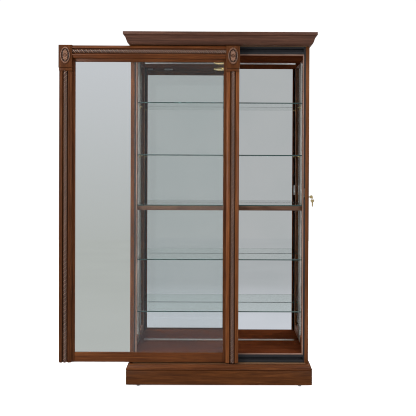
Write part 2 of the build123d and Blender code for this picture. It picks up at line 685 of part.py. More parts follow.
# Applied moulding: slope, fillet, groove for the rope, fillet, slope.
PROFILE = (
    (0, 0), (0, 13), (2, 16), (7, 19), (11, 20), (12, 22.5), (13.5, 23.5), (18.5, 23.5), (20, 22.5),
    (20.6, 8), (52.4, 8), (53, 22.5), (54.5, 23.5), (59.5, 23.5), (61, 22.5), (62, 20), (67, 19),
    (72, 16), (74, 13), (74, 0),
)
TOP_PROFILE = (
    (0, 0), (0, 14), (1.5, 17), (6, 19.5), (10, 22.5), (13, 23.5), (16.5, 23), (17, 8), (48.8, 8),
    (49.4, 22.5), (51, 23.5), (56, 23.5), (57.5, 22.5), (58.5, 20), (66, 19), (72, 16), (74, 13), (74, 0),
)
ROPE_TOP_U = 33.0          # the top rope's centre line from the door's upper edge
with BuildPart() as door_pilasters:
    for sx in (-1, 1):
        with BuildSketch(Plane.XY.offset(DOOR_LOW)):
            with BuildLine():
                Polyline(*[(DOOR_X + sx * (DOOR_HALF - u), DOOR_FACE - h) for u, h in PROFILE], close=True)
            make_face()
        extrude(amount=BLOCK_LOW - DOOR_LOW)
save(door_pilasters.part, "door_pilasters")

with BuildPart() as door_top_moulding:
    with BuildSketch(Plane.YZ.offset(DOOR_X - DOOR_HALF + 75.5)):
        with BuildLine():
            Polyline(*[(DOOR_FACE - h, DOOR_HIGH - u) for u, h in TOP_PROFILE], close=True)
        make_face()
    extrude(amount=2 * (DOOR_HALF - 75.5))
save(door_top_moulding.part, "door_top_moulding")

# Rope turnings laid in the grooves, as plain rods flattened behind.
with BuildPart() as door_ropes:
    for sx in (-1, 1):
        with BuildSketch(Plane.XY.offset(DOOR_LOW)):
            with Locations((DOOR_X + sx * (DOOR_HALF - ROPE_U), DOOR_FACE - 14.5)):
                Circle(ROPE_R)
            with Locations((DOOR_X + sx * (DOOR_HALF - ROPE_U), DOOR_FACE - 8 + 10)):
                Rectangle(30, 20, mode=Mode.SUBTRACT)
        extrude(amount=BLOCK_LOW - DOOR_LOW)
    with BuildSketch(Plane.YZ.offset(DOOR_X - DOOR_HALF + 75.5)):
        with Locations((DOOR_FACE - 14.5, DOOR_HIGH - ROPE_TOP_U)):
            Circle(ROPE_R)
        with Locations((DOOR_FACE - 8 + 10, DOOR_HIGH - ROPE_TOP_U)):
            Rectangle(20, 30, mode=Mode.SUBTRACT)
    extrude(amount=2 * (DOOR_HALF - 75.5))
save(door_ropes.part, "door_ropes")

# Corner blocks with a plain foot below, and an oval patera on each.
with BuildPart() as door_corner_blocks:
    for sx in (-1, 1):
        x_out = DOOR_X + sx * (DOOR_HALF + 2.5)
        x_in = DOOR_X + sx * (DOOR_HALF - 75.5)
        board(min(x_in, x_out), max(x_in, x_out), DOOR_FACE - 27, DOOR_FACE, BLOCK_LOW + 17.5, DOOR_HIGH + 1.5)
        board(min(x_in, x_out - sx * 2.5), max(x_in, x_out - sx * 2.5), DOOR_FACE - 25.5, DOOR_FACE, BLOCK_LOW, BLOCK_LOW + 15.0)
        board(min(x_in, x_out - sx * 4.5), max(x_in, x_out - sx * 4.5), DOOR_FACE - 23.5, DOOR_FACE, BLOCK_LOW + 15.0, BLOCK_LOW + 17.5)
    chamfer(door_corner_blocks.faces().filter_by(Axis.Y).group_by(Axis.Y)[0].edges(), 2.0)
save(door_corner_blocks.part, "door_corner_blocks")

with BuildPart() as door_rosettes:
    with BuildSketch(Plane.XZ.offset(-DOOR_FACE + 27)):
        with Locations((DOOR_X - DOOR_HALF + 36.5, 1899), (DOOR_X + DOOR_HALF - 36.5, 1899)):
            Ellipse(29, 49)
    extrude(amount=8)
    chamfer(door_rosettes.edges().group_by(Axis.Y)[0], 4.0)
save(door_rosettes.part, "door_rosettes")

GL = 445.0
with BuildPart() as door_glass:
    board(DOOR_X - GL, DOOR_X + GL, DOOR_BACK - 12.5, DOOR_BACK - 12.5 + GLASS_T, DOOR_LOW + DOOR_BOTTOM_RAIL - 18, DOOR_HIGH - DOOR_TOP_RAIL + 18)
save(door_glass.part, "door_glass")

# Stops that hold the glass from behind.
with BuildPart() as door_glass_stops:
    y0, y1 = DOOR_BACK - 12.5 + GLASS_T, DOOR_BACK
    zl, zh = DOOR_LOW + DOOR_BOTTOM_RAIL, DOOR_HIGH - DOOR_TOP_RAIL
    for sx in (-1, 1):
        xa, xb = DOOR_X + sx * DIN, DOOR_X + sx * (DIN + REBATE)
        board(min(xa, xb), max(xa, xb), y0, y1, zl + JOINT, zh - JOINT)
    board(DOOR_X - DIN - REBATE, DOOR_X + DIN + REBATE, y0, y1, zl - REBATE, zl)
    board(DOOR_X - DIN - REBATE, DOOR_X + DIN + REBATE, y0, y1, zh, zh + REBATE)
save(door_glass_stops.part, "door_glass_stops")

# Hangers: a plate on the door's back with a shouldered axle for each roller.
with BuildPart() as door_hangers:
    for sx in (-1, 1):
        cx = DOOR_X + sx * ROLLER_X
        board(cx - 26, cx + 26, DOOR_BACK, DOOR_BACK + 2, 1898, 1950)
        with BuildSketch(Plane.XZ.offset(-(DOOR_BACK + 2))):
            with Locations((cx, AXLE_Z)):
                Circle(5)
        extrude(amount=-7.2)
        with BuildSketch(Plane.XZ.offset(-(DOOR_BACK + 9.2))):
            with Locations((cx, AXLE_Z)):
                Circle(AXLE_R)
        extrude(amount=-12.6)
        with BuildSketch(Plane.XZ.offset(-(DOOR_BACK + 21.8))):
            with Locations((cx, AXLE_Z)):
                Circle(4.5)
        extrude(amount=-1.7)
    with BuildSketch(Plane.XZ.offset(-(DOOR_BACK + 1.8))):
        with Locations(*SCREWS_TOP):
            Circle(3.1)
    extrude(amount=1.8, taper=36, mode=Mode.SUBTRACT)
    with BuildSketch(Plane.XZ.offset(-(DOOR_BACK + 2.0))):
        with Locations(*SCREWS_TOP):
            Circle(3.1)
    extrude(amount=0.2, mode=Mode.SUBTRACT)
save(door_hangers.part, "door_hangers")

for side, sx in (("left", -1), ("right", 1)):
    with BuildPart() as roller:
        with BuildSketch(Plane.XZ.offset(-(DOOR_BACK + 9.5))):
            with Locations((DOOR_X + sx * ROLLER_X, AXLE_Z)):
                Circle(ROLLER_R)
                Circle(AXLE_R + RUN, mode=Mode.SUBTRACT)
        extrude(amount=-12.0)
        # crown the tread a little at both rims
        chamfer(roller.edges().group_by(Axis.Y)[0].sort_by(SortBy.LENGTH)[-1], 1.0)
        chamfer(roller.edges().group_by(Axis.Y)[-1].sort_by(SortBy.LENGTH)[-1], 1.0)
    save(roller.part, "roller_" + side)

# Guides that run in the lower track.
with BuildPart() as bottom_guides:
    for sx in (-1, 1):
        cx = DOOR_X + sx * ROLLER_X
        board(cx - 20, cx + 20, DOOR_BACK, DOOR_BACK + 2, 146, 172)
        board(cx - 14, cx + 14, DOOR_BACK + 2, DOOR_BACK + 15, 152, 160)
    with BuildSketch(Plane.XZ.offset(-(DOOR_BACK + 1.8))):
        with Locations(*SCREWS_LOW):
            Circle(3.1)
    extrude(amount=1.8, taper=36, mode=Mode.SUBTRACT)
    with BuildSketch(Plane.XZ.offset(-(DOOR_BACK + 2.0))):
        with Locations(*SCREWS_LOW):
            Circle(3.1)
    extrude(amount=0.2, mode=Mode.SUBTRACT)
save(bottom_guides.part, "bottom_guides")

with BuildPart() as strike_plate:
    board(DOOR_X + 480, DOOR_X + 499, DOOR_BACK - 1.5, DOOR_BACK, LOCK_Z - 26, LOCK_Z + 44)
    board(DOOR_X + 486.5, DOOR_X + 492.5, DOOR_BACK - 1.5, DOOR_BACK, LOCK_Z - 12, LOCK_Z + 30, mode=Mode.SUBTRACT)
    with BuildSketch(Plane.XZ.offset(-DOOR_BACK)):
        with Locations(*SCREWS_STRIKE):
            Circle(2.9)
    extrude(amount=1.5, taper=36, mode=Mode.SUBTRACT)
save(strike_plate.part, "strike_plate")

# Countersunk wood screws of the hangers, guides and strike plate.
with BuildPart() as door_screws:
    with BuildSketch(Plane.XZ.offset(-(DOOR_BACK + 1.8))):
        with Locations(*SCREWS_2):
            Circle(3.1)
    extrude(amount=1.8, taper=36)
    with BuildSketch(Plane.XZ.offset(-DOOR_BACK)):
        with Locations(*SCREWS_2):
            Circle(1.7)
    extrude(amount=12)
    with BuildSketch(Plane.XZ.offset(-DOOR_BACK)):
        with Locations(*SCREWS_STRIKE):
            Circle(2.9)
    extrude(amount=1.5, taper=36)
    with BuildSketch(Plane.XZ.offset(-(DOOR_BACK - 1.5))):
        with Locations(*SCREWS_STRIKE):
            Circle(1.7)
    extrude(amount=12)
save(door_screws.part, "door_screws")
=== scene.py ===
import json
import math

import bmesh
import bpy
import numpy as np
from mathutils import Matrix, Vector


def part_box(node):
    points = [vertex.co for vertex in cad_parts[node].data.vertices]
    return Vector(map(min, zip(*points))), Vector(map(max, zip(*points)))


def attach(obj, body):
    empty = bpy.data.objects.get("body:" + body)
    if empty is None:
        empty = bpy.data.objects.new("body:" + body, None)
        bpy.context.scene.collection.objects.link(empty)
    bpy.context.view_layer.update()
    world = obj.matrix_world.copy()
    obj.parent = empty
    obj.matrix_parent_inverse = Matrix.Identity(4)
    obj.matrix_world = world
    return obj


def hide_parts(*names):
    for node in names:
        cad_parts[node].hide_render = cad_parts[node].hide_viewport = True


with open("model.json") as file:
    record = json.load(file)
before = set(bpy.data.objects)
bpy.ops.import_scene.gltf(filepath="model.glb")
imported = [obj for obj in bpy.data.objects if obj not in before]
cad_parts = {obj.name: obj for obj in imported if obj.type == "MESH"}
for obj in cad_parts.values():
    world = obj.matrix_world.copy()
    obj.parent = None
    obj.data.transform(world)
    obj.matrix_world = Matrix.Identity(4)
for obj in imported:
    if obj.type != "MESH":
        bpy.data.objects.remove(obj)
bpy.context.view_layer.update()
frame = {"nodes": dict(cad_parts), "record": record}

scene = bpy.context.scene
MM = 0.001
NODES = frame["nodes"]
BODY = {n: b for b, ns in frame["record"]["behaviour"]["bodies"].items() for n in ns}


# ------------------------------------------------------------------ node helpers
class Tree:
    """A short way to write a material's nodes."""

    def __init__(self, name):
        self.mat = bpy.data.materials.new(name)
        self.mat.use_nodes = True
        self.nt = self.mat.node_tree
        self.nt.nodes.clear()
        self.out = self.nt.nodes.new("ShaderNodeOutputMaterial")

    def node(self, kind, **props):
        n = self.nt.nodes.new("ShaderNode" + kind)
        for k, v in props.items():
            setattr(n, k, v)
        return n

    def put(self, socket, value):
        if isinstance(value, bpy.types.NodeSocket):
            self.nt.links.new(value, socket)
        elif isinstance(value, (tuple, list)) and len(value) == 3 and socket.type == "RGBA":
            socket.default_value = (*value, 1.0)
        else:
            socket.default_value = value

    def coords(self, offset=None, scale=(1, 1, 1), board=True):
        tc = self.node("TexCoord")
        v = tc.outputs["Object"]
        if board:
            at = self.node("Attribute", attribute_name="board", attribute_type="GEOMETRY")
            sc = self.node("VectorMath", operation="SCALE")
            self.put(sc.inputs[0], (13.7, 9.1, 5.3))
            self.put(sc.inputs["Scale"], at.outputs["Fac"])
            ad = self.node("VectorMath", operation="ADD")
            self.put(ad.inputs[0], v)
            self.put(ad.inputs[1], sc.outputs[0])
            v = ad.outputs[0]
        mp = self.node("Mapping")
        self.put(mp.inputs["Vector"], v)
        mp.inputs["Scale"].default_value = scale
        if offset:
            mp.inputs["Location"].default_value = offset
        return mp.outputs[0]

    def noise(self, vector, scale, detail=4.0, rough=0.55, distortion=0.0):
        n = self.node("TexNoise")
        self.put(n.inputs["Vector"], vector)
        n.inputs["Scale"].default_value = scale
        n.inputs["Detail"].default_value = detail
        n.inputs["Roughness"].default_value = rough
        n.inputs["Distortion"].default_value = distortion
        return n.outputs["Fac"]

    def ramp(self, fac, stops, interp="LINEAR"):
        r = self.node("ValToRGB")
        r.color_ramp.interpolation = interp
        el = r.color_ramp.elements
        while len(el) < len(stops):
            el.new(0.5)
        for e, (pos, col) in zip(el, stops):
            e.position = pos
            e.color = (*col, 1.0) if len(col) == 3 else col
        self.put(r.inputs["Fac"], fac)
        return r.outputs["Color"]

    def map(self, value, a, b, c, d):
        m = self.node("MapRange")
        self.put(m.inputs["Value"], value)
        for k, x in zip(("From Min", "From Max", "To Min", "To Max"), (a, b, c, d)):
            m.inputs[k].default_value = x
        return m.outputs["Result"]

    def math(self, op, a, b=None, clamp=False):
        m = self.node("Math", operation=op, use_clamp=clamp)
        self.put(m.inputs[0], a)
        if b is not None:
            self.put(m.inputs[1], b)
        return m.outputs[0]

    def mix(self, fac, a, b, blend="MIX"):
        m = self.node("Mix", data_type="RGBA", blend_type=blend)
        self.put(m.inputs["Factor"], fac)
        self.put(m.inputs["A"], a)
        self.put(m.inputs["B"], b)
        return m.outputs["Result"]

    def bump(self, height, strength, distance, normal=None):
        b = self.node("Bump")
        b.inputs["Strength"].default_value = strength
        b.inputs["Distance"].default_value = distance
        self.put(b.inputs["Height"], height)
        if normal is not None:
            self.put(b.inputs["Normal"], normal)
        return b.outputs["Normal"]

    def principled(self, **values):
        p = self.node("BsdfPrincipled")
        for k, v in values.items():
            self.put(p.inputs[k.replace("_", " ")], v)
        self.surface(p.outputs[0])
        return p

    def surface(self, socket):
        self.nt.links.new(socket, self.out.inputs["Surface"])


def rgb(r, g, b):
    """A colour given in the display's 0 to 255, made linear."""
    f = lambda c: c / 12.92 if c <= 0.04045 else ((c + 0.055) / 1.055) ** 2.4
    return tuple(f(c / 255.0) for c in (r, g, b))


# ------------------------------------------------------------------ materials
STRETCH = {"X": (0.055, 1, 1), "Y": (1, 0.055, 1), "Z": (1, 1, 0.055)}


def wood(name, axis, dark, mid, light, ao_shade=0.0, gloss=0.30, coat=0.35, grain=1.0, figure=9.0, spec=0.35, cavity=False):
    """Stained and lacquered hardwood, with its grain along one axis."""
    t = Tree(name)
    v = t.coords(scale=STRETCH[axis])
    # broad figure: bands that wander along the board
    warp = t.noise(v, 5.0, 3.0, 0.5)
    w = t.node("VectorMath", operation="SCALE")
    t.put(w.inputs[0], (0.10, 0.10, 0.10))
    t.put(w.inputs["Scale"], warp)
    moved = t.node("VectorMath", operation="ADD")
    t.put(moved.inputs[0], v)
    t.put(moved.inputs[1], w.outputs[0])
    bands = t.noise(moved.outputs[0], figure * 6, 5.0, 0.62, 0.35)
    streaks = t.noise(v, 210.0, 3.0, 0.6)
    pores = t.noise(t.coords(scale=tuple(s * (0.35 if s < 1 else 1) for s in STRETCH[axis])), 900.0, 2.0, 0.5)
    f = t.math("ADD", t.math("MULTIPLY", bands, 0.68), t.math("MULTIPLY", streaks, 0.32))
    colour = t.ramp(f, [(0.33, dark), (0.50, mid), (0.66, light)])
    # fine dark pores
    pore = t.map(pores, 0.34, 0.46, 0.62, 1.0)
    colour = t.mix(0.8 * grain, colour, t.mix(1.0, colour, pore, "MULTIPLY"))
    # each board a little lighter or darker
    at = t.node("Attribute", attribute_name="board", attribute_type="GEOMETRY")
    tone = t.map(at.outputs["Fac"], 0.0, 1.0, 0.90, 1.12)
    colour = t.mix(1.0, colour, tone, "MULTIPLY")
    # large soft clouds in the stain
    cloud = t.map(t.noise(t.coords(), 3.5, 2.0, 0.5), 0.3, 0.7, 0.90, 1.10)
    colour = t.mix(1.0, colour, cloud, "MULTIPLY")
    # painted shade: ambient occlusion darkens the wood in its recesses and creases
    if ao_shade:
        ao = t.node("AmbientOcclusion", samples=8, only_local=True)
        ao.inputs["Distance"].default_value = 0.014
        ao_darkening = t.map(ao.outputs["AO"], 0.30, 0.92, 1.0 - ao_shade, 1.0)
        colour = t.mix(1.0, colour, ao_darkening, "MULTIPLY")
    if cavity:
        # painted shade left dark in the low places and a painted highlight on the high ones, both set by the cavity
        # height
        cv = t.node("Attribute", attribute_name="cavity", attribute_type="GEOMETRY")
        relief_shade_light = t.math("ADD", cv.outputs["Fac"], t.map(t.noise(t.coords(), 160.0, 3.0, 0.6), 0.3, 0.7, -0.10, 0.10))
        colour = t.mix(t.map(relief_shade_light, 0.34, 0.74, 1.0, 0.0), colour, (0.0125, 0.0065, 0.0048))
        colour = t.mix(t.map(relief_shade_light, 0.70, 0.95, 0.0, 0.65), colour, rgb(150, 114, 92))
    rough = t.map(t.noise(v, 60.0, 3.0, 0.6), 0.3, 0.7, gloss - 0.05, gloss + 0.08)
    nrm = t.bump(t.math("ADD", t.math("MULTIPLY", pores, 0.6), t.math("MULTIPLY", streaks, 0.4)), 0.10 * grain, 0.0004)
    p = t.principled(Base_Color=colour, Roughness=rough, Normal=nrm)
    p.inputs["IOR"].default_value = 1.45
    p.inputs["Specular IOR Level"].default_value = spec
    p.inputs["Coat Weight"].default_value = coat
    p.inputs["Coat Roughness"].default_value = 0.12
    p.inputs["Coat IOR"].default_value = 1.5
    return t.mat


def paint(name, colour, gloss=0.38, axis="Z"):
    """Satin black paint with a hint of the wood under it."""
    t = Tree(name)
    v = t.coords(scale=STRETCH[axis])
    n = t.noise(v, 160.0, 3.0, 0.6)
    lo = tuple(c * 0.82 for c in colour)
    hi = tuple(c * 1.25 for c in colour)
    col = t.ramp(n, [(0.30, lo), (0.52, colour), (0.75, hi)])
    spots = t.noise(t.coords(), 22.0, 3.0, 0.6)
    p = t.principled(
        Base_Color=col,
        Roughness=t.map(spots, 0.3, 0.7, gloss - 0.06, gloss + 0.08),
        Normal=t.bump(n, 0.12, 0.0003),
    )
    p.inputs["Specular IOR Level"].default_value = 0.16
    return t.mat


def metal(name, colour, rough=0.2, scratch=0.06, scale=260.0, stretch=(1, 1, 1), tarnish=0.25):
    t = Tree(name)
    v = t.coords(scale=stretch)
    n = t.noise(v, scale, 4.0, 0.6)
    cloud = t.noise(t.coords(), 38.0, 3.0, 0.6)
    dull = tuple(c * (1 - tarnish) for c in colour)
    col = t.ramp(cloud, [(0.30, dull), (0.62, colour)])
    p = t.principled(
        Base_Color=col,
        Roughness=t.map(n, 0.3, 0.7, rough, rough + 0.12),
        Normal=t.bump(n, scratch, 0.0002),
    )
    p.inputs["Metallic"].default_value = 1.0
    return t.mat


def glass(name, tint, rough=0.0, shadow=0.92):
    """Clear glass that lets the lamps through."""
    t = Tree(name)
    smear = t.noise(t.coords(board=False), 7.0, 3.0, 0.6)
    p = t.node("BsdfPrincipled")
    p.inputs["Base Color"].default_value = (*tint, 1)
    p.inputs["Transmission Weight"].default_value = 1.0
    p.inputs["IOR"].default_value = 1.45
    t.put(p.inputs["Roughness"], t.map(smear, 0.45, 0.75, rough, rough + 0.012))
    clear = t.node("BsdfTransparent")
    clear.inputs["Color"].default_value = (shadow, shadow, shadow, 1)
    lp = t.node("LightPath")
    m = t.node("MixShader")
    t.put(m.inputs[0], lp.outputs["Is Shadow Ray"])
    t.nt.links.new(p.outputs[0], m.inputs[1])
    t.nt.links.new(clear.outputs[0], m.inputs[2])
    t.surface(m.outputs[0])
    return t.mat


def glass_edge(name, deep, pale):
    """The polished green edge of thick glass."""
    t = Tree(name)
    n = t.noise(t.coords(scale=(0.06, 0.06, 1), board=False), 90.0, 3.0, 0.6)
    col = t.ramp(n, [(0.35, deep), (0.62, pale)])
    p = t.principled(Base_Color=col, Roughness=t.map(n, 0.3, 0.7, 0.08, 0.16), Normal=t.bump(n, 0.05, 0.0003))
    p.inputs["IOR"].default_value = 1.5
    return t.mat


def silver(name):
    t = Tree(name)
    n = t.noise(t.coords(board=False), 4.0, 3.0, 0.5)
    col = t.ramp(n, [(0.35, (0.86, 0.885, 0.875)), (0.65, (0.89, 0.905, 0.895))])
    p = t.principled(Base_Color=col, Roughness=t.map(n, 0.3, 0.7, 0.004, 0.012))
    p.inputs["Metallic"].default_value = 1.0
    return t.mat


def plastic(name, colour, rough=0.4):
    t = Tree(name)
    n = t.noise(t.coords(), 700.0, 2.0, 0.5)
    c = t.noise(t.coords(), 30.0, 2.0, 0.5)
    col = t.ramp(c, [(0.3, tuple(x * 0.9 for x in colour)), (0.7, colour)])
    p = t.principled(Base_Color=col, Roughness=t.map(n, 0.3, 0.7, rough - 0.05, rough + 0.08), Normal=t.bump(n, 0.1, 0.0002))
    return t.mat


def lamp(name):
    """A lit frosted lens, brightest at its middle."""
    t = Tree(name)
    lo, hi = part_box("light_lens")
    c = (lo + hi) / 2
    tc = t.node("TexCoord")
    sub = t.node("VectorMath", operation="SUBTRACT")
    t.put(sub.inputs[0], tc.outputs["Object"])
    t.put(sub.inputs[1], tuple(c))
    ln = t.node("VectorMath", operation="LENGTH")
    t.put(ln.inputs[0], sub.outputs[0])
    near = t.map(ln.outputs["Value"], 0.004, 0.034, 1.0, 0.0)
    ribs = t.noise(t.coords(board=False), 420.0, 2.0, 0.5)
    col = t.ramp(near, [(0.0, (1.0, 0.46, 0.09)), (0.55, (1.0, 0.58, 0.17)), (1.0, (1.0, 0.68, 0.26))])
    p = t.principled(Base_Color=(0.9, 0.7, 0.35), Emission_Color=col, Normal=t.bump(ribs, 0.2, 0.0004))
    p.inputs["Roughness"].default_value = 0.35
    t.put(p.inputs["Emission Strength"], t.map(near, 0.0, 1.0, 0.12, 0.34))
    return t.mat


DARK, MID, LIGHT = rgb(58, 28, 9), rgb(82, 43, 17), rgb(104, 60, 29)
WOOD = {a: wood("cherry_" + a, a, DARK, MID, LIGHT, gloss=0.40, coat=0.03, spec=0.11) for a in "XYZ"}
PLINTH = {
    a: wood("cherry_plinth_" + a, a, rgb(50, 24, 7), rgb(72, 38, 13), rgb(92, 52, 23), gloss=0.40, coat=0.03, spec=0.09)
    for a in "XYZ"
}
# painted light: a lighter, warmer copy of the wood for the brighter right front stile
WARM_LIT = {
    a: wood("cherry_warm_lit_" + a, a, rgb(74, 41, 20), rgb(96, 55, 28), rgb(115, 71, 42), gloss=0.40, coat=0.03, spec=0.11)
    for a in "XYZ"
}
CROWN = {
    a: wood("cherry_top_" + a, a, rgb(56, 33, 22), rgb(78, 48, 34), rgb(96, 62, 46), gloss=0.44, coat=0.04, spec=0.22)
    for a in "XYZ"
}
CARVED = {
    a: wood(
        "cherry_ao_shaded_" + a, a, rgb(68, 34, 12), rgb(94, 50, 21), rgb(117, 68, 34),
        ao_shade=0.72, gloss=0.40, coat=0.03, spec=0.13,
    )
    for a in "XYZ"
}
# painted shade: a darker copy of the carved wood, used on the left pilaster and the corner blocks
PILASTER_SHADED = {
    a: wood(
        "pilaster_shaded_" + a, a, rgb(54, 28, 10), rgb(75, 40, 17), rgb(95, 56, 29), ao_shade=0.72, gloss=0.42, coat=0.02, spec=0.09
    )
    for a in "XYZ"
}
# painted light: a lighter copy of the carved wood for the right pilaster
PILASTER_LIT = {
    a: wood(
        "pilaster_lit_" + a, a, rgb(80, 41, 15), rgb(108, 59, 25), rgb(132, 79, 41), ao_shade=0.72, gloss=0.40, coat=0.03, spec=0.13
    )
    for a in "XYZ"
}
ROPED = {
    a: wood(
        "cherry_roped_" + a, a, rgb(58, 33, 21), rgb(88, 55, 38), rgb(112, 74, 54),
        gloss=0.30, coat=0.16, spec=0.36, cavity=True,
    )
    for a in "XYZ"
}
# painted shade: a darker copy of the wood, with no sheen, for the inside floor, ceiling and lip returns
INSIDE_SHADED = {
    a: wood(
        "cherry_inside_shaded_" + a, a, rgb(64, 30, 15), rgb(82, 40, 21), rgb(98, 51, 29), gloss=0.8, coat=0.0, spec=0.0
    )
    for a in "XYZ"
}
SHELF_RAIL = {
    a: wood("shelf_rail_" + a, a, rgb(60, 39, 28), rgb(80, 56, 42), rgb(97, 71, 55), gloss=0.45, coat=0.02, spec=0.12)
    for a in "XYZ"
}
# painted highlight: a pale copy of the wood for the front of the opening lip
LIP_HIGHLIGHT = {
    a: wood("lip_highlight_" + a, a, rgb(98, 70, 56), rgb(124, 94, 80), rgb(146, 116, 100), gloss=0.5, coat=0.0, spec=0.25)
    for a in "XYZ"
}
# painted reflection: a grey copy of the wood standing in for the pale room reflected by the glass
GREY_REFLECTION = {
    a: wood("grey_reflection_" + a, a, rgb(104, 101, 97), rgb(128, 125, 121), rgb(148, 145, 141), gloss=0.5, coat=0.0, spec=0.25)
    for a in "XYZ"
}
RAW = {
    a: wood("plain_board_" + a, a, rgb(92, 66, 46), rgb(118, 88, 62), rgb(140, 108, 80), gloss=0.6, coat=0.0, spec=0.2)
    for a in "XYZ"
}
BLACK = {a: paint("black_paint_" + a, rgb(34, 34, 36), 0.5, a) for a in "XYZ"}
BLACK_METAL = metal("black_anodised", (0.031, 0.031, 0.034), 0.50, 0.04, 300.0, (0.02, 1, 1), 0.2)
BRASS = metal("brass", (0.66, 0.50, 0.24), 0.20, 0.05)
GOLD = metal("lamp_brass", (0.80, 0.58, 0.24), 0.16, 0.04)
STEEL = metal("zinc_steel", (0.52, 0.52, 0.54), 0.28, 0.06)
ALU = metal("satin_aluminium", (0.70, 0.70, 0.71), 0.30, 0.08, 420.0, (0.02, 1, 1), 0.12)
NYLON = plastic("nylon", (0.72, 0.71, 0.67))
CLEAR = glass("clear_glass", (0.93, 0.955, 0.95))
DOOR_CLEAR = glass("door_glass", (0.93, 0.955, 0.95))
SHELF = glass("shelf_glass", (0.86, 0.945, 0.92))
EDGE = glass_edge("shelf_glass_edge", (0.010, 0.030, 0.028), (0.030, 0.060, 0.055))
SILVER = silver("mirror_silver")
LAMP = lamp("lamp_lens")
BACKING = {a: paint("mirror_backing_" + a, (0.10, 0.085, 0.07), 0.6, a) for a in "XYZ"}


# ------------------------------------------------------------------ making pieces
rng = np.random.default_rng(20)


def link(name, mesh):
    ob = bpy.data.objects.new(name, mesh)
    scene.collection.objects.link(ob)
    return ob


def finish_piece(ob, body, nodes=()):
    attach(ob, body)
    if nodes:
        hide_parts(*nodes)
    return ob


def islands(bm):
    seen, out = set(), []
    for f in bm.faces:
        if f.index in seen:
            continue
        stack, isl = [f], []
        seen.add(f.index)
        while stack:
            g = stack.pop()
            isl.append(g)
            for e in g.edges:
                for h in e.link_faces:
                    if h.index not in seen:
                        seen.add(h.index)
                        stack.append(h)
        out.append(isl)
    return out


def skin(node, mats, bevel=1.0, segments=2, sharp=30.0, extra=None, suffix="_skin"):
    """A copy of a CAD node with eased edges; each board takes the grain of its own length."""
    src = NODES[node]
    bm = bmesh.new()
    bm.from_mesh(src.data)
    bmesh.ops.remove_doubles(bm, verts=bm.verts, dist=2e-6)
    bmesh.ops.dissolve_limit(
        bm, angle_limit=math.radians(0.8), use_dissolve_boundaries=False, verts=bm.verts, edges=bm.edges
    )
    bm.faces.ensure_lookup_table()
    bm.faces.index_update()
    order = "XYZ"
    for isl in islands(bm):
        co = np.array([v.co for f in isl for v in f.verts])
        ext = co.max(0) - co.min(0)
        k = int(np.argmax(ext))
        for f in isl:
            f.material_index = k
    if bevel:
        edges = [
            e for e in bm.edges
            if len(e.link_faces) == 2 and e.calc_face_angle(0.0) > math.radians(sharp) and e.calc_length() > 0.0012
        ]
        if edges:
            bmesh.ops.bevel(
                bm, geom=edges, offset=bevel * MM, offset_type="OFFSET", segments=segments, profile=0.5,
                affect="EDGES", clamp_overlap=True, loop_slide=True, miter_outer="SHARP",
            )
    bm.normal_update()
    me = bpy.data.meshes.new(node + suffix)
    bm.faces.ensure_lookup_table()
    bm.faces.index_update()
    # one number per board, so that its grain and tone are its own
    bm.verts.index_update()
    values = np.zeros(len(bm.verts), np.float32)
    for isl in islands(bm):
        r = float(rng.random())
        for f in isl:
            for v in f.verts:
                values[v.index] = r
    bm.to_mesh(me)
    bm.free()
    at = me.attributes.new("board", "FLOAT", "POINT")
    at.data.foreach_set("value", values)
    me.polygons.foreach_set("use_smooth", [True] * len(me.polygons))
    me.set_sharp_from_angle(angle=math.radians(38))
    for a in order:
        me.materials.append(mats[a] if isinstance(mats, dict) else mats)
    ob = link(node + suffix, me)
    if extra:
        extra(ob)
    return finish_piece(ob, BODY[node], (node,))


def dress(node, *mats):
    """Gives a CAD node its material and leaves its mesh alone."""
    ob = NODES[node]
    ob.data.materials.clear()
    for m in mats:
        ob.data.materials.append(m)


def grid_mesh(name, rings, closed_ring=True, caps=True):
    """A skin over a list of rings of points, capped at both ends."""
    rings = np.asarray(rings, float)
    n, m = rings.shape[:2]
    verts = rings.reshape(-1, 3).tolist()
    faces = []
    for i in range(n - 1):
        for j in range(m if closed_ring else m - 1):
            a, b = i * m + j, i * m + (j + 1) % m
            faces.append((a, b, b + m, a + m))
    if caps:
        faces.append(tuple(range(m))[::-1])
        faces.append(tuple((n - 1) * m + j for j in range(m)))
    me = bpy.data.meshes.new(name)
    me.from_pydata(verts, [], faces)
    me.validate()
    bm = bmesh.new()
    bm.from_mesh(me)
    bmesh.ops.recalc_face_normals(bm, faces=bm.faces)
    bm.to_mesh(me)
    bm.free()
    me.polygons.foreach_set("use_smooth", [True] * len(me.polygons))
    return me


def set_board(me, value):
    at = me.attributes.new("board", "FLOAT", "POINT")
    at.data.foreach_set("value", np.full(len(me.vertices), value, np.float32))


def set_cavity(me, values):
    """0 in the valleys, 1 on the high places."""
    at = me.attributes.new("cavity", "FLOAT", "POINT")
    full = np.zeros(len(me.vertices), np.float32)
    full[: len(values)] = values
    at.data.foreach_set("value", full)


